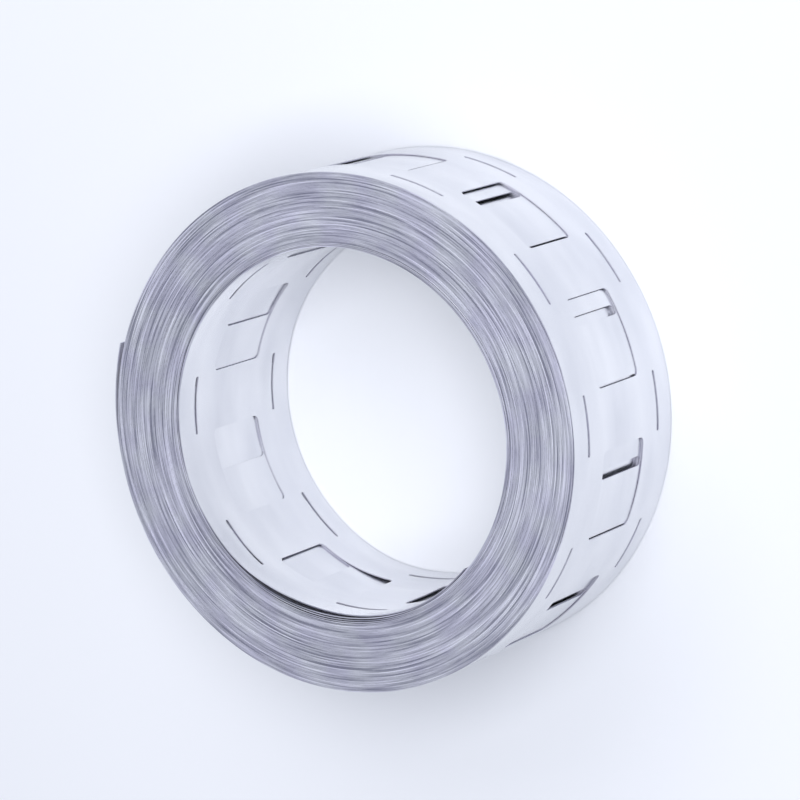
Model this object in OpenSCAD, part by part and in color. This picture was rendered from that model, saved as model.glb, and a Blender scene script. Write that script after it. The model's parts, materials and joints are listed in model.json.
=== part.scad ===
// Roll of punched nickel-plated strip for joining rows of round battery cells.
// The strip is wound into an open coil, which lies on one end with its front end up.
// Each turn is one strip thickness and sits a little in or out of its neighbours,
// so the turns show as fine rings on both ends. The punched windows and slits are seen
// in the outermost and innermost turns, and through them in the turns behind.

/* [Strip] */
// Thickness of the strip
strip_t = 0.15; // [0.1:0.01:0.2]
// Width of the strip, which is the width of the coil
strip_w = 25.5; // [22:0.1:40]
// Length of strip on the roll
strip_length = 10000; // [5000:100:15000]

/* [Coil] */
// Radius of the bore that the winding mandrel leaves
bore_r = 22.4; // [18:0.1:30]
// Furthest that a turn sits in or out of line on the ends
turn_wander = 0.12; // [0.04:0.02:0.3]
// Turns from one proud band of turns to the next
band_turns = 13; // [7:1:25]

/* [Windows and slits] */
// Distance from one cell to the next along the strip
cell_pitch = 18.5; // [18:0.1:22]
// Length of each window along the strip
window_l = 11.1; // [8:0.1:13]
// Width of each window across the strip
window_w = 10.5; // [7:0.1:13]
// Radius of the windows' corners
corner_r = 0.8; // [0.3:0.1:1.5]
// Length of the slits that split the welding current
slit_l = 7.3; // [4:0.1:9]
// Width of those slits
slit_w = 0.6; // [0.3:0.05:1]
// Distance from the edge of the strip to the middle of a slit
slit_inset = 3.7; // [2:0.05:5]

/* [Free ends] */
// Direction of the outer free end, counter-clockwise from the right
tail_at = 165; // [90:1:270]
// Angle over which the outer end lifts off the coil
tail_span = 60; // [45:1:75]
// Height of the lifted outer end over the coil
tail_lift = 0.5; // [0.4:0.05:1]
// Angle at the outer end where air shows under it
tail_gap_span = 12; // [6:1:15]
// Length of strip from the outer end to the middle of the first window
first_window = 8.1; // [7:0.1:15]
// Direction of the inner free end, counter-clockwise from the right
inner_end_at = 320; // [270:1:350]
// Angle past the inner end over which the bore comes back to its radius
inner_end_span = 60; // [45:1:75]
// Gap that the inner end has sprung away from the turn behind it
inner_gap = 0.1; // [0.05:0.01:0.14]
// Length of strip from the inner end back to the middle of the last window
last_window = 9.4; // [7:0.1:15]

/* [Hidden] */
$fn = 180;

// A solid winding holds the strip's own area, and the turns fill it up
wound_r = sqrt(bore_r * bore_r + strip_length * strip_t / PI);
turn_count = round((wound_r - bore_r) / strip_t);
coil_r = bore_r + turn_count * strip_t;

// The tail lies on a wider circle, which starts one strip thickness inside the coil
tail_widening = (tail_lift + strip_t) / (1 - cos(tail_span));
tail_r = coil_r - strip_t + tail_widening;
tail_root_at = tail_at + tail_span;

// The step at the inner end is cut by a smaller circle that is moved towards that end
inner_step = strip_t + inner_gap;
inner_shift = inner_step / (1 - cos(inner_end_span));
inner_step_r = bore_r + inner_step - inner_shift;

// Windows on the outermost turn after the first one, and on the innermost turn
outer_cells = floor((2 * PI * (coil_r - strip_t / 2) - first_window) / cell_pitch);
bore_cells = floor((2 * PI * (bore_r + strip_t / 2) - last_window) / cell_pitch);

// Cutters reach this far past the faces that they cut, in millimetres or degrees
overcut = 1;
cutter_h = strip_w + overcut;
punch_h = 3 * overcut;

corner_steps = 4;
// Part of a slit's width that the radius of its corners may take
slit_round = 0.4;

// Slow bands of turns with a quicker ripple on them
function turn_shift(turn) =
    turn_wander * (0.65 * sin(360 * turn / band_turns) + 0.35 * sin(137.5 * turn + 30));

// Angle that a length of strip takes up on a turn of radius r
function wrap_angle(length, r) = length / r * 180 / PI;

function arc(x, y, r, from, to) = [
    for (step = [0 : corner_steps])
        let (a = from + (to - from) * step / corner_steps)
        [x + r * cos(a), y + r * sin(a)]
];

module turned_coil() {
    near_edge = [
        for (turn = [0 : turn_count - 1], side = [0, 1])
            [bore_r + (turn + side) * strip_t, turn_shift(turn) - strip_w / 2]
    ];
    far_edge = [
        for (turn = [turn_count - 1 : -1 : 0], side = [1, 0])
            [bore_r + (turn + side) * strip_t, turn_shift(turn) + strip_w / 2]
    ];
    rotate_extrude() polygon(concat(near_edge, far_edge));
}

module sector(from, span, inner, outer, height) {
    rotate([0, 0, from])
        rotate_extrude(angle = span)
            translate([inner, -height / 2])
                square([outer - inner, height]);
}

module tail_disc(r) {
    offset_x = coil_r - strip_t - tail_r;
    rotate([0, 0, tail_root_at])
        translate([offset_x, 0, -strip_w / 2])
            cylinder(r = r, h = strip_w);
}

module tail() {
    reach = coil_r + tail_lift + overcut;
    difference() {
        intersection() {
            tail_disc(tail_r);
            sector(tail_at, tail_span, coil_r - strip_t / 2, reach, strip_w);
        }
        intersection() {
            sector(tail_at - overcut, tail_gap_span + overcut, coil_r - 2 * strip_t, reach, cutter_h);
            tail_disc(tail_r - strip_t);
        }
        outer_pattern(0, 0, 1);
    }
}

// A rectangle with round corners
module punch_outline(length, width) {
    r = min(corner_r, slit_round * width);
    x = length / 2 - r;
    y = width / 2 - r;
    polygon(concat(
        arc(x, y, r, 0, 90),
        arc(-x, y, r, 90, 180),
        arc(-x, -y, r, 180, 270),
        arc(x, -y, r, 270, 360)
    ));
}

module window() {
    punch_outline(window_l, window_w);
}

// The pair of slits between one window and the next
module weld_slits() {
    for (side = [-1, 1])
        translate([0, side * (strip_w / 2 - slit_inset)])
            punch_outline(slit_l, slit_w);
}

// Stands a flat outline on a turn, reaching out from radius r
module on_turn(at, r) {
    rotate([0, 0, at])
        translate([r, 0, 0])
            rotate([90, 0, 90])
                linear_extrude(height = punch_h) children();
}

module tube(inner, outer) {
    difference() {
        cylinder(r = outer, h = strip_w, center = true);
        cylinder(r = inner, h = cutter_h, center = true);
    }
}

// Windows and slits on a turn that is counted in from the outside
module outer_pattern(turn, first, last) {
    r = coil_r - (turn + 0.5) * strip_t;
    strip_before = 2 * PI * turn * (coil_r - turn * strip_t / 2);
    for (cell = [first : last]) {
        along = first_window + cell * cell_pitch - strip_before;
        on_turn(tail_at + wrap_angle(along, r), r - overcut) window();
        on_turn(tail_at + wrap_angle(along + cell_pitch / 2, r), r - overcut) weld_slits();
    }
}

// Windows and slits on a turn that is counted out from the bore
module bore_pattern(turn, first, last) {
    r = bore_r + (turn + 0.5) * strip_t;
    strip_after = 2 * PI * turn * (bore_r + turn * strip_t / 2);
    for (cell = [first : last]) {
        along = last_window + cell * cell_pitch - strip_after;
        on_turn(inner_end_at - wrap_angle(along, r), r - overcut) window();
        on_turn(inner_end_at - wrap_angle(along + cell_pitch / 2, r), r - overcut) weld_slits();
    }
}

// A turn behind is cut where the windows in front of it leave it open.
// The first window is left to the tail.
module outer_punching() {
    translate([0, 0, turn_shift(turn_count - 1)]) {
        intersection() {
            tube(coil_r - strip_t, coil_r + overcut);
            outer_pattern(0, 1, outer_cells);
        }
        intersection() {
            tube(coil_r - 2 * strip_t, coil_r);
            outer_pattern(0, 1, outer_cells);
            outer_pattern(1, outer_cells + 1, 2 * outer_cells);
        }
    }
}

// Past the inner end the bore shows the turn behind it, which has the next window
module bore_punching() {
    translate([0, 0, turn_shift(0)]) {
        intersection() {
            tube(bore_r - overcut, bore_r + strip_t);
            bore_pattern(0, 0, bore_cells - 1);
        }
        intersection() {
            tube(bore_r, bore_r + 2 * strip_t);
            bore_pattern(0, 0, bore_cells - 2);
            bore_pattern(1, bore_cells, 2 * bore_cells);
        }
        intersection() {
            inner_end_step(strip_t);
            bore_pattern(0, bore_cells - 1, bore_cells);
        }
    }
}

// The circle that cuts the step leaves the bore's own circle at the inner end
module inner_end_step(deeper) {
    intersection() {
        sector(inner_end_at, inner_end_span, bore_r - overcut, bore_r + overcut, cutter_h);
        rotate([0, 0, inner_end_at])
            translate([inner_shift, 0, 0])
                cylinder(r = inner_step_r + deeper, h = cutter_h, center = true);
    }
}

module nickel_strip_coil() {
    color("silver")
        difference() {
            union() {
                difference() {
                    turned_coil();
                    outer_punching();
                }
                translate([0, 0, turn_shift(turn_count)]) tail();
            }
            bore_punching();
            inner_end_step(0);
        }
}

nickel_strip_coil();
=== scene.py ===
# %% [markdown]
# # A coil of punched nickel strip
#
# The object is ten metres of thin nickel-plated steel strip, rolled up like tape. Battery makers
# cut it to length and weld it to two rows of round cells. A row of windows runs down its middle,
# and between two windows a pair of short slits keeps the welding current apart.
#
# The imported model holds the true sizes. This script makes the looks: it punches a flat strip,
# winds it turn by turn, and gives the metal its finish. Flat work is drawn in millimetres, and the
# winding turns it into metres, which is the frame's own unit.

# %% Load the frame
import functools
import json
import math

import bmesh
import bpy
from mathutils import Matrix, Vector, noise


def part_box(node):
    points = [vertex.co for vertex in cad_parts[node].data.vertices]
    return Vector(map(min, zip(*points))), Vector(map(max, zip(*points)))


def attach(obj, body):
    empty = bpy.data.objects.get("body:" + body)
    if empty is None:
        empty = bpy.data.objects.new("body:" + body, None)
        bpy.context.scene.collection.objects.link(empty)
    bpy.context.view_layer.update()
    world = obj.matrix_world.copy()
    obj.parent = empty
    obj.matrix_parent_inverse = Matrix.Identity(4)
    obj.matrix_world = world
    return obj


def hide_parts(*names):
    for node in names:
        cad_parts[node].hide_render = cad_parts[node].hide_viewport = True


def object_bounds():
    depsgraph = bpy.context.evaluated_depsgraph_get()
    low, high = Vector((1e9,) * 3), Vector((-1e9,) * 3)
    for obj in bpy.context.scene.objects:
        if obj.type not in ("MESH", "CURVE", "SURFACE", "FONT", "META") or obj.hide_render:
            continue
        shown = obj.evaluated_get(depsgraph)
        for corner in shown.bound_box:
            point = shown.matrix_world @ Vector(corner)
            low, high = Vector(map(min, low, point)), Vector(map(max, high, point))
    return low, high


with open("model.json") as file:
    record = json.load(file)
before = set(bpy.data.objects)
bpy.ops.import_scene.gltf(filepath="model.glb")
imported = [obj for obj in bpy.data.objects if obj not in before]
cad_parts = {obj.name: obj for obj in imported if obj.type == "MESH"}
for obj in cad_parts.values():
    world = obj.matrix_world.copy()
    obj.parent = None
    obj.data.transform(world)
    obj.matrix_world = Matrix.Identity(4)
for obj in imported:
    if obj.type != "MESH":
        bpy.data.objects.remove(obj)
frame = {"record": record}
cad_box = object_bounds()

MM = 0.001
TURN = 2 * math.pi
mounts = {mount["name"]: mount for mount in frame["record"]["mounts"]}
bore_r = mounts["spindle_bore"]["dims"]["r_mm"]
strip_w = mounts["spindle_bore"]["dims"]["length_mm"]
coil_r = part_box("nickel_strip_coil")[1].x / MM
floor_z = cad_box[0].z
print(f"frame: bore radius {bore_r:.2f} mm, coil radius {coil_r:.2f} mm, width {strip_w:.1f} mm")

# %% [markdown]
# ## The camera
#
# The coil lies on one end, so a camera that sees its front end the way the picture does has to
# look down on it. The two angles are measured from the middle line of the bore: how far the eye
# has moved to the right of that line, and how far above it. A long lens from half a metre keeps
# the rims close to true circles.

# %% Camera
view_right = math.radians(29.4)
view_above = math.radians(11.14)
camera_distance = 508.0 * MM
aim_right = 0.98 * MM
aim_up = 1.90 * MM
lens_mm = 188.7
sensor_mm = 36.0

right = Vector((math.cos(view_right), 0.0, -math.sin(view_right)))
forward = -Vector((
    math.sin(view_right) * math.cos(view_above),
    math.sin(view_above),
    math.cos(view_right) * math.cos(view_above),
))
up = right.cross(forward)

camera_data = bpy.data.cameras.new("camera")
camera_data.lens = lens_mm
camera_data.sensor_width = sensor_mm
camera_data.clip_start = 0.02
camera_data.clip_end = 20.0
camera = bpy.data.objects.new("camera", camera_data)
bpy.context.scene.collection.objects.link(camera)
turned = Matrix((right, up, -forward)).transposed().to_4x4()
placed = Matrix.Translation(aim_right * right + aim_up * up - camera_distance * forward)
camera.matrix_world = placed @ turned
bpy.context.scene.camera = camera
print("camera stands at", [round(c, 3) for c in placed.translation])

# %% [markdown]
# ## Floor and light
#
# Polished metal shows its surroundings more than its own colour, so the light is part of the
# finish. A pale floor fills the outer wall with white from below. A soft key lamp hangs nearly
# overhead, on the camera's side, so that it also reaches down into the bore. A weaker lamp beyond
# the top of the picture lights the far side of the wall. An even, slightly blue sky fills in the
# rest.

# %% Floor
floor_half = 2.0


def new_material(name):
    """A node material with its Principled shader, ready for more nodes."""
    material = bpy.data.materials.new(name)
    material.use_nodes = True
    return material, material.node_tree, material.node_tree.nodes["Principled BSDF"]


def object_from(bm, name):
    """Turns a bmesh into an object at the origin."""
    mesh = bpy.data.meshes.new(name)
    bm.to_mesh(mesh)
    bm.free()
    made = bpy.data.objects.new(name, mesh)
    bpy.context.scene.collection.objects.link(made)
    return made


floor_bm = bmesh.new()
bmesh.ops.create_grid(floor_bm, x_segments=1, y_segments=1, size=floor_half)
bmesh.ops.translate(floor_bm, verts=floor_bm.verts, vec=(0.0, 0.0, floor_z))
floor = object_from(floor_bm, "floor")
floor_paint, _, floor_shader = new_material("floor_paint")
floor_shader.inputs["Base Color"].default_value = (0.80, 0.83, 0.90, 1.0)
floor_shader.inputs["Roughness"].default_value = 0.7
floor_shader.inputs["Specular IOR Level"].default_value = 0.1
floor.data.materials.append(floor_paint)
print("floor at", round(floor_z / MM, 2), "mm")

# %% Lights
def soft_lamp(name, towards, distance, size, power, colour):
    """A square lamp in the direction `towards`, seen from the coil, and facing it."""
    data = bpy.data.lights.new(name, "AREA")
    data.shape = "SQUARE"
    data.size = size
    data.energy = power
    data.color = colour
    lamp = bpy.data.objects.new(name, data)
    bpy.context.scene.collection.objects.link(lamp)
    direction = Vector(towards).normalized()
    lamp.location = direction * distance
    lamp.rotation_mode = "QUATERNION"
    lamp.rotation_quaternion = direction.to_track_quat("Z", "Y")


soft_lamp(
    "key_lamp",
    towards=(0.36, 0.14, 0.92),
    distance=0.6,
    size=0.40,
    power=2.9,
    colour=(1.0, 0.99, 0.98),
)
soft_lamp(
    "top_lamp",
    towards=(-0.10, 0.85, 0.75),
    distance=0.6,
    size=0.45,
    power=1.0,
    colour=(1.0, 0.98, 0.96),
)

world = bpy.data.worlds.new("studio")
bpy.context.scene.world = world
world.use_nodes = True
sky = world.node_tree.nodes["Background"]
sky.inputs["Color"].default_value = (0.88, 0.91, 1.0, 1.0)
sky.inputs["Strength"].default_value = 0.41
bpy.context.scene.view_settings.view_transform = "Standard"

# %% [markdown]
# ## Punching one cell
#
# The real strip passes through a press that punches the same pattern over and over. The holes
# could be faked with a see-through texture, but real ones have walls that catch the light, and
# they are part of the mesh itself. So one blank, as long as the distance between two cells, is
# punched with Blender's Boolean and then repeated. A punch is a box with its four upright edges
# rounded by a bevel. The window is in the middle of the blank, and the slits reach half into the
# next one.

# %% Sizes of the strip
strip_t = 0.15
metal_t = 0.14
cell_pitch = 18.5
window_l = 11.1
window_w = 10.5
window_corner = 0.8
slit_l = 7.3
slit_w = 0.6
slit_corner = 0.25
slit_inset = 3.7
slit_y = strip_w / 2 - slit_inset
print(f"one cell: {cell_pitch} mm, window {window_l} x {window_w} mm, slits {slit_l} x {slit_w} mm")

# %% Punches
punch_h = 2.0
corner_segments = 4


def box_bm(length, width, height, x, y):
    """A box with its middle at x, y on the strip."""
    bm = bmesh.new()
    size = Matrix.Diagonal((length, width, height, 1.0))
    bmesh.ops.create_cube(bm, size=1.0, matrix=Matrix.Translation((x, y, 0.0)) @ size)
    return bm


def punch(length, width, corner, x, y):
    """A punch with rounded corners that stands across the strip at x, y."""
    bm = box_bm(length, width, punch_h, x, y)
    upright = [e for e in bm.edges if abs(e.verts[0].co.z - e.verts[1].co.z) > punch_h / 2]
    bmesh.ops.bevel(
        bm,
        geom=upright,
        offset=corner,
        segments=corner_segments,
        profile=0.5,
        affect="EDGES",
        material=-1,
    )
    return bm


def slit_pair(x):
    """The punches for the two slits that lie side by side at x."""
    return [punch(slit_l, slit_w, slit_corner, x, side * slit_y) for side in (-1, 1)]


print(f"punches: {punch_h} mm high, {corner_segments} segments to a corner")

# %% One punched cell
bend_columns = 18
# Points that are closer than this count as one
near = 0.01


def punched(blank, punches):
    """Cuts every punch out of the blank and returns the mesh that is left."""
    body = object_from(blank, "blank")
    tools = []
    for number, tool_bm in enumerate(punches):
        tool = object_from(tool_bm, f"punch_{number}")
        cut = body.modifiers.new(tool.name, "BOOLEAN")
        cut.object = tool
        cut.operation = "DIFFERENCE"
        cut.solver = "EXACT"
        tools.append(tool)
    seen = body.evaluated_get(bpy.context.evaluated_depsgraph_get())
    mesh = bpy.data.meshes.new_from_object(seen)
    for scrap in [body, *tools]:
        bpy.data.objects.remove(scrap)
    return mesh


def whole(bm):
    """All parts of a bmesh, for an operator that works on everything."""
    return [*bm.verts, *bm.edges, *bm.faces]


def cell_mesh(slits_before, slits_after):
    """One cell, open at its two ends, cut across into columns so that it can bend."""
    half = cell_pitch / 2
    punches = [punch(window_l, window_w, window_corner, 0.0, 0.0)]
    if slits_before:
        punches += slit_pair(-half)
    if slits_after:
        punches += slit_pair(half)
    mesh = punched(box_bm(cell_pitch, strip_w, metal_t, 0.0, 0.0), punches)
    bm = bmesh.new()
    bm.from_mesh(mesh)
    crosswise = [f for f in bm.faces if abs(f.normal.x) > 0.9]
    ends = [f for f in crosswise if abs(f.calc_center_median().x) > half - near]
    bmesh.ops.delete(bm, geom=ends, context="FACES")
    for column in range(1, bend_columns):
        cut_at = (cell_pitch * (column / bend_columns - 0.5), 0, 0)
        bmesh.ops.bisect_plane(bm, geom=whole(bm), plane_co=cut_at, plane_no=(1, 0, 0), dist=near)
    bm.to_mesh(mesh)
    bm.free()
    return mesh


cell_meshes = {
    "first": cell_mesh(slits_before=False, slits_after=True),
    "middle": cell_mesh(slits_before=True, slits_after=True),
    "last": cell_mesh(slits_before=True, slits_after=False),
}
print("faces in a cell:", {name: len(mesh.polygons) for name, mesh in cell_meshes.items()})

# %% [markdown]
# ## The strip's length
#
# The coil has 59 full turns and a bit, because its outer end is on the left and its inner end at
# the lower right. The length follows from the two radii, and it is rounded to whole cells. The
# outer turn sits half a strip thickness wide, because no real coil is wound perfectly tight, and
# this sets how the windows of one turn fall on those of the next.

# %% Lengths
full_turns = 59
tail_at = math.radians(165.0)
inner_end_at = math.radians(320.0)
first_window = 8.1
last_window = 9.4

wound_angle = TURN * full_turns + inner_end_at - tail_at
inner_r = bore_r + metal_t / 2
rough_length = (coil_r + strip_t / 2 + inner_r) / 2 * wound_angle
cell_count = round((rough_length - first_window - last_window) / cell_pitch) + 1
strip_length = first_window + (cell_count - 1) * cell_pitch + last_window
outer_r = 2 * strip_length / wound_angle - inner_r
print(f"strip: {strip_length * MM:.3f} m, {cell_count} cells, {wound_angle / TURN:.2f} turns")
print(f"middle of the strip runs from radius {outer_r:.2f} to {inner_r:.2f} mm")

# %% [markdown]
# ## The flat strip
#
# The real strip is punched from end to end, but most of its cells lie deep inside the coil. Only
# the turns that can be seen are punched here: some at the outside, where one turn shows the next
# through its windows, and some at the bore. The turns between them are plain, and a bridge joins
# the two punched lengths. The innermost turn is also cut into rows, so that it can twist.

# %% Lay the cells
punched_turns = 8
outer_cells = round(TURN * outer_r * punched_turns / cell_pitch)
inner_cells = round(TURN * inner_r * punched_turns / cell_pitch)


def cell_middle(cell):
    """Length from the outer end to the middle of a cell."""
    return first_window + cell * cell_pitch


def cell_kind(cell, cells):
    """Which of the three cell meshes a cell takes in its row of cells."""
    if cell == cells[0]:
        return "first"
    if cell == cells[-1]:
        return "last"
    return "middle"


def lay_cells(bm, cells):
    """Lays punched cells end to end at their places along the strip."""
    for cell in cells:
        known = len(bm.verts)
        bm.from_mesh(cell_meshes[cell_kind(cell, cells)])
        bm.verts.ensure_lookup_table()
        bmesh.ops.translate(bm, verts=bm.verts[known:], vec=(cell_middle(cell), 0.0, 0.0))


flat = bmesh.new()
lay_cells(flat, range(outer_cells))
lay_cells(flat, range(cell_count - inner_cells, cell_count))
bmesh.ops.remove_doubles(flat, verts=flat.verts, dist=near)
print(f"laid {outer_cells} cells for the outside and {inner_cells} for the bore")

# %% Close the free ends
def end_loop(bm, x):
    """The open edges that lie across the strip at length x."""
    boundary = [e for e in bm.edges if e.is_boundary]
    return [e for e in boundary if all(abs(v.co.x - x) < 2 * near for v in e.verts)]


start = (0, 0, 0)
along = (1, 0, 0)
bmesh.ops.bisect_plane(flat, geom=whole(flat), plane_co=start, plane_no=along, clear_inner=True)
tail_loop = end_loop(flat, 0.0)
inner_loop = end_loop(flat, cell_middle(cell_count - 1) + cell_pitch / 2)
for loop in (tail_loop, inner_loop):
    bmesh.ops.edgeloop_fill(flat, edges=loop)
print(f"free ends closed over {len(tail_loop)} and {len(inner_loop)} edges")

# %% Rows for the twist
twist_turns = 1.3
twist_from = strip_length - twist_turns * TURN * inner_r
for y in (-window_w / 2, 0.0, window_w / 2):
    twisting = [f for f in flat.faces if f.calc_center_median().x > twist_from]
    parts = dict.fromkeys(part for f in twisting for part in (f, *f.edges, *f.verts))
    cut_at = (0, y, 0)
    bmesh.ops.bisect_plane(flat, geom=list(parts), plane_co=cut_at, plane_no=(0, 1, 0), dist=near)
print(f"rows cut across the last {twist_turns} turns")

# %% Plain turns
columns_a_turn = 180
plain_from = cell_middle(outer_cells - 1) + cell_pitch / 2
plain_to = cell_middle(cell_count - inner_cells) - cell_pitch / 2
plain_columns = round(columns_a_turn * (wound_angle / TURN - 2 * punched_turns))
joined = end_loop(flat, plain_from) + end_loop(flat, plain_to)
bridge = bmesh.ops.bridge_loops(flat, edges=joined)
long_edges = [e for e in bridge["edges"] if e.calc_length() > (plain_to - plain_from) / 2]
bmesh.ops.subdivide_edges(flat, edges=long_edges, cuts=plain_columns - 1)
bmesh.ops.recalc_face_normals(flat, faces=flat.faces)
open_edges = sum(not e.is_manifold for e in flat.edges)
print(f"plain turns: {len(long_edges)} edges along them, in {plain_columns} columns")
print(f"flat strip: {len(flat.faces)} faces, {open_edges} open edges")

# %% [markdown]
# ## Winding
#
# Every point of the flat strip has a length along it, a place across it and a place in its
# thickness. A Curve modifier could bend the strip, but it would make every turn perfect. Here a
# formula turns the length into an angle on a spiral that gets narrower by one strip thickness a
# turn, and small faults are added to it, which is what makes a coil look real. Turns wander a
# little to the front and back, the outer end springs up, and the inner turns are loose along their
# front edge. The last one has sprung off its neighbours at the bottom, and because it is twisted,
# the gap leans: it is further to the left at the front end than at the back.

# %% Spiral
spiral_drop = (outer_r - inner_r) / wound_angle


def wound_from(length):
    """The angle wound up at this length from the outer end."""
    return (outer_r - math.sqrt(outer_r * outer_r - 2 * spiral_drop * length)) / spiral_drop


print(f"spiral: {spiral_drop * TURN:.4f} mm narrower with each turn")

# %% Sprung ends
tail_span = math.radians(30.0)
tail_lift = 0.46
inner_end_span = math.radians(25.0)
inner_end_spring = 0.06


def end_spring(from_end, span, lift):
    """How far a free end has sprung off its neighbour, at an angle back from that end."""
    return lift * max(0.0, 1.0 - from_end / span) ** 2


print(f"ends: outer one lifts {tail_lift} mm, inner one {inner_end_spring} mm")

# %% Loose inner turns
loose_turns = 6.0
even_slack = 0.08
low_slack, low_slack_at, low_slack_reach = 0.42, 268.0, 40.0
high_slack, high_slack_at, high_slack_reach = 0.08, 60.0, 50.0
crescent_gap = 0.34
crescent_at = 56.0
crescent_lean = 1.1
crescent_reach = 30.0


def hump(x, middle, half_width):
    """A smooth hill of height 1."""
    reach = abs(x - middle) / half_width
    return math.cos(reach * math.pi / 2) ** 2 if reach < 1.0 else 0.0


def round_hump(angle, middle_deg, half_width_deg):
    """The same hill on a full circle."""
    off = (math.degrees(angle) - middle_deg + 180.0) % 360.0 - 180.0
    return hump(off, 0.0, half_width_deg)


def front_slack(wound, across):
    """How far the front edge of an inner turn has come away from the turn behind it."""
    angle = wound + tail_at
    low = low_slack * round_hump(angle, low_slack_at, low_slack_reach)
    high = high_slack * round_hump(angle, high_slack_at, high_slack_reach)
    front_share = max(0.0, 2.0 * across / strip_w)
    inner_turn = (wound_angle - wound) / TURN
    return (even_slack + low + high) * front_share * max(0.0, 1.0 - inner_turn / loose_turns) ** 2


def crescent(back, across):
    """How far the innermost turn has sprung off at the bottom, at an angle from the inner end."""
    middle = crescent_at + crescent_lean * across
    return crescent_gap * hump(math.degrees(back), middle, crescent_reach)


def spring(wound, across):
    """How far a point has sprung out of the tight spiral, outwards being positive."""
    back = wound_angle - wound
    lifted = end_spring(wound, tail_span, tail_lift)
    sunk = end_spring(back, inner_end_span, inner_end_spring)
    return lifted - front_slack(wound, across) - crescent(back, across) - sunk


print(f"looseness: {loose_turns:.0f} inner turns, crescent of {crescent_gap} mm")

# %% Wander
wander_limit = 0.115
band_depth = 0.05
band_turns = 13.0
slow_depth, slow_reach, slow_row = 0.12, 0.9, 0.5
quick_depth, quick_reach, quick_row = 0.08, 0.3, 7.5


def drift(wound, reach, row):
    """A smooth noise that changes over `reach` radians of the winding."""
    return noise.noise(Vector((wound / reach, row, 0.5)))


def wander(wound):
    """How far a turn has moved to the front or back."""
    turn = (wound_angle - wound) / TURN
    bands = band_depth * math.sin(TURN * turn / band_turns)
    slow = slow_depth * drift(wound, slow_reach, slow_row)
    quick = quick_depth * drift(wound, quick_reach, quick_row)
    return wander_limit * math.tanh((bands + slow + quick) / wander_limit)


print(f"wander: {wander(0.0):.3f} mm at the outer end, {wander_limit} mm at most")

# %% Flats between the windows
facet_depth = 0.03
facet_turns = 2.0


def facet(length, wound):
    """The strip bends more easily at its windows, so free turns are a little flat between them."""
    at_window = 0.5 + 0.5 * math.cos(TURN * (length - first_window) / cell_pitch)
    outer_share = max(0.0, 1.0 - wound / (TURN * facet_turns))
    inner_share = max(0.0, 1.0 - (wound_angle - wound) / (TURN * facet_turns))
    return facet_depth * (outer_share * at_window - inner_share * (1.0 - at_window))


print(f"flats: {facet_depth} mm deep on the {facet_turns:.0f} turns at either end")

# %% A point on the coil
slope_step = 0.05


def radius_at(length, across):
    """Radius of the middle of the strip's thickness."""
    wound = wound_from(length)
    return outer_r - spiral_drop * wound + spring(wound, across) + facet(length, wound)


@functools.lru_cache(maxsize=None)
def wound_point(length, across):
    """Radius, direction, shift to the front and outward normal of the strip at one place."""
    wound = wound_from(length)
    angle = tail_at + wound
    before = max(length - slope_step, 0.0)
    after = min(length + slope_step, strip_length)
    slope = (radius_at(after, across) - radius_at(before, across)) / (after - before)
    outward = Vector((math.cos(angle), math.sin(angle), 0.0))
    onward = Vector((-math.sin(angle), math.cos(angle), 0.0))
    normal = (outward - slope * onward).normalized()
    return radius_at(length, across), outward, wander(wound), normal


print(f"radius: {radius_at(0.0, 0.0):.2f} mm at the outer end")

# %% Which face gets which finish
plate_slot, edge_slot, wall_slot = range(3)
tail_length = outer_r * tail_span
last_turn_from = strip_length - TURN * inner_r


def lines_gap(middle, side):
    """Whether a face looks into the gap under the outer end or behind the innermost turn."""
    if middle.x < tail_length:
        return side < 0
    return side > 0 and middle.x > last_turn_from


def finish_of(face):
    """The material slot of a face of the flat strip."""
    middle = face.calc_center_median()
    if abs(face.normal.z) > 0.5:
        return wall_slot if lines_gap(middle, face.normal.z) else plate_slot
    on_long_edge = abs(middle.y) > strip_w / 2 - near
    on_free_end = not near < middle.x < strip_length - near
    return edge_slot if on_long_edge or on_free_end else wall_slot


flat.normal_update()
strip_uv = flat.loops.layers.uv.new("strip")
for face in flat.faces:
    face.smooth = True
    face.material_index = finish_of(face)
    for loop in face.loops:
        loop[strip_uv].uv = (loop.vert.co.x * MM, loop.vert.co.y * MM)
side_of_face = [round(face.normal.z) for face in flat.faces]
print("faces of plate, edge and wall:", [
    sum(face.material_index == slot for face in flat.faces)
    for slot in (plate_slot, edge_slot, wall_slot)
])

# %% Wind the strip
normals = []
for v in flat.verts:
    length = min(max(v.co.x, 0.0), strip_length)
    r, outward, shift, normal = wound_point(round(length, 3), round(v.co.y, 3))
    normals.append(normal)
    v.co = (outward * r + normal * v.co.z + Vector((0.0, 0.0, v.co.y + shift))) * MM
coil = object_from(flat, "wound_nickel_strip")
triangles = sum(len(p.vertices) - 2 for p in coil.data.polygons)
print(f"coil: {triangles} triangles")

# %% Smooth the turns
loop_normals = []
for polygon, side in zip(coil.data.polygons, side_of_face):
    for vertex in polygon.vertices:
        loop_normals.append(normals[vertex] * side if side else polygon.normal.copy())
coil.data.normals_split_custom_set(loop_normals)
print("normals set on", len(loop_normals), "corners")

# %% [markdown]
# ## Nickel plate
#
# Rolled strip keeps a fine grain along its length, from the rolls, and the plating copies it. The
# grain is too fine to model, so it is a noise that is stretched along the strip, on the strip's
# own UV map. It changes the gloss more than the colour.

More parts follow.
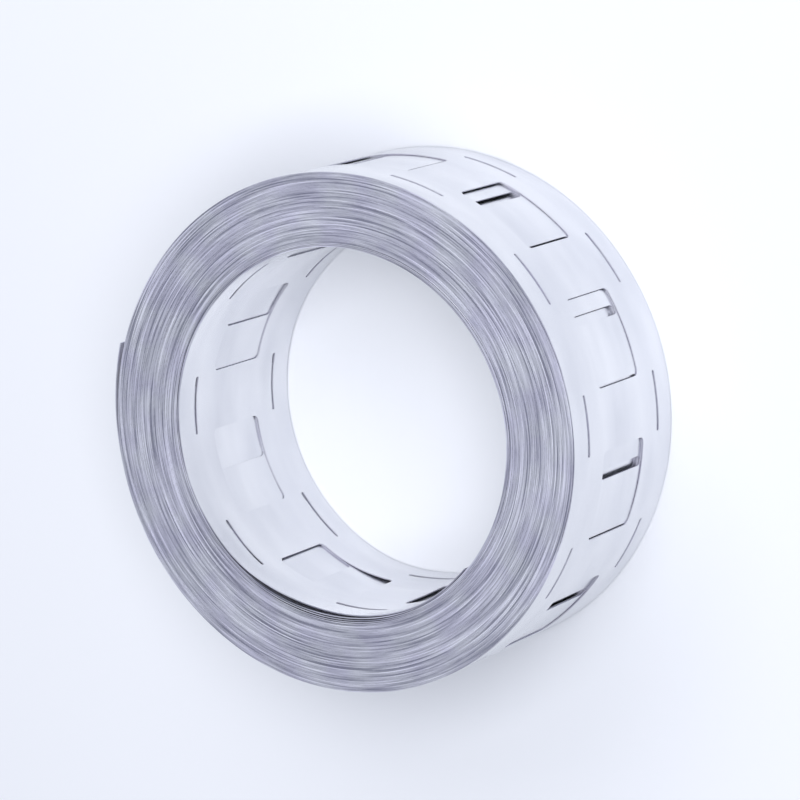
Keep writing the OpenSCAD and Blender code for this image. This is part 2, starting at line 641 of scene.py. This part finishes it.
# %% Noise and tones
def strip_noise(tree, scale, detail):
    """A noise on the strip's own UV map, in metres along and across it."""
    strip_map = tree.nodes.new("ShaderNodeUVMap")
    strip_map.uv_map = "strip"
    stretch = tree.nodes.new("ShaderNodeMapping")
    stretch.inputs["Scale"].default_value = scale
    pattern = tree.nodes.new("ShaderNodeTexNoise")
    pattern.inputs["Scale"].default_value = 1.0
    pattern.inputs["Detail"].default_value = detail
    tree.links.new(strip_map.outputs["UV"], stretch.inputs["Vector"])
    tree.links.new(stretch.outputs["Vector"], pattern.inputs["Vector"])
    return pattern.outputs["Fac"]


def two_tones(tree, pattern, dark_at, dark, light_at, light):
    """Colours from dark to light that follow a pattern."""
    ramp = tree.nodes.new("ShaderNodeValToRGB")
    low, high = ramp.color_ramp.elements
    low.position = dark_at
    low.color = dark
    high.position = light_at
    high.color = light
    tree.links.new(pattern, ramp.inputs["Fac"])
    return ramp.outputs["Color"]


print("UV maps for the noise:", [uv_map.name for uv_map in coil.data.uv_layers])

# %% Nickel plate
grain_scale = (25.0, 2500.0, 1.0)
grain_depth = 0.01 * MM
cloud_scale = (60.0, 160.0, 1.0)
plate_dark = (0.69, 0.70, 0.735, 1.0)
plate_light = (0.82, 0.825, 0.845, 1.0)

nickel_plate, tree, shader = new_material("nickel_plate")
grain = strip_noise(tree, grain_scale, detail=3.0)
cloud = strip_noise(tree, cloud_scale, detail=2.0)
tint = two_tones(tree, cloud, dark_at=0.3, dark=plate_dark, light_at=0.7, light=plate_light)
gloss = tree.nodes.new("ShaderNodeMapRange")
gloss.inputs["To Min"].default_value = 0.14
gloss.inputs["To Max"].default_value = 0.30
grain_bump = tree.nodes.new("ShaderNodeBump")
grain_bump.inputs["Strength"].default_value = 0.15
grain_bump.inputs["Distance"].default_value = grain_depth
tree.links.new(grain, gloss.inputs["Value"])
tree.links.new(grain, grain_bump.inputs["Height"])
tree.links.new(tint, shader.inputs["Base Color"])
tree.links.new(gloss.outputs["Result"], shader.inputs["Roughness"])
tree.links.new(grain_bump.outputs["Normal"], shader.inputs["Normal"])
shader.inputs["Metallic"].default_value = 1.0
coil.data.materials.append(nickel_plate)
print("nickel plate has", len(tree.nodes), "nodes")

# %% [markdown]
# ## Sheared edges
#
# The strip is slit to width after plating, so its long edges show bare, rough steel. They are
# darker and duller than the faces. One grey for all of them would make the ends of the coil look
# like a turned block. So each stretch of edge has its own tone, which draws the light and dark
# lines on the ends, and faint stains lie over many turns at once.
#
# The walls of the windows and slits are torn by the punch, so they scatter the light more and
# mirror it less. Two hidden faces share that finish: the inside of the lifted outer end and the
# back of the innermost turn. In a narrow gap light goes to and fro more often than a render
# follows it, and a mirror there would look black.

# %% Bare steel
tone_scale = (60.0, 0.0, 1.0)
stain_scale = 230.0
stain_dark = (0.88, 0.87, 0.96, 1.0)
stain_light = (0.97, 0.98, 1.0, 1.0)


def edge_material(name, dark, light, metallic, roughness):
    """Bare steel whose tone changes along the strip, with stains over it."""
    material, tree, shader = new_material(name)
    tone = strip_noise(tree, tone_scale, detail=5.0)
    steel = two_tones(tree, tone, dark_at=0.39, dark=dark, light_at=0.61, light=light)
    place = tree.nodes.new("ShaderNodeTexCoord")
    patch = tree.nodes.new("ShaderNodeTexNoise")
    patch.inputs["Scale"].default_value = stain_scale
    patch.inputs["Detail"].default_value = 3.0
    tree.links.new(place.outputs["Object"], patch.inputs["Vector"])
    stain = two_tones(
        tree, patch.outputs["Fac"], dark_at=0.38, dark=stain_dark, light_at=0.62, light=stain_light
    )
    stained = tree.nodes.new("ShaderNodeMix")
    stained.data_type = "RGBA"
    stained.blend_type = "MULTIPLY"
    stained.inputs["Factor"].default_value = 1.0
    tree.links.new(steel, stained.inputs["A"])
    tree.links.new(stain, stained.inputs["B"])
    tree.links.new(stained.outputs["Result"], shader.inputs["Base Color"])
    shader.inputs["Metallic"].default_value = metallic
    shader.inputs["Roughness"].default_value = roughness
    return material


sheared_edge = edge_material(
    "sheared_edge",
    dark=(0.235, 0.247, 0.31, 1.0),
    light=(0.685, 0.703, 0.792, 1.0),
    metallic=0.45,
    roughness=0.6,
)
punched_wall = edge_material(
    "punched_wall",
    dark=(0.42, 0.43, 0.50, 1.0),
    light=(0.56, 0.57, 0.64, 1.0),
    metallic=0.2,
    roughness=0.7,
)
for material in (sheared_edge, punched_wall):
    coil.data.materials.append(material)
print("finishes on the coil:", [material.name for material in coil.data.materials])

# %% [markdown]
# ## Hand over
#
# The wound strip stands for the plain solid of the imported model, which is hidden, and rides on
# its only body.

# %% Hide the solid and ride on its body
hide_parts("nickel_strip_coil")
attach(coil, "root")
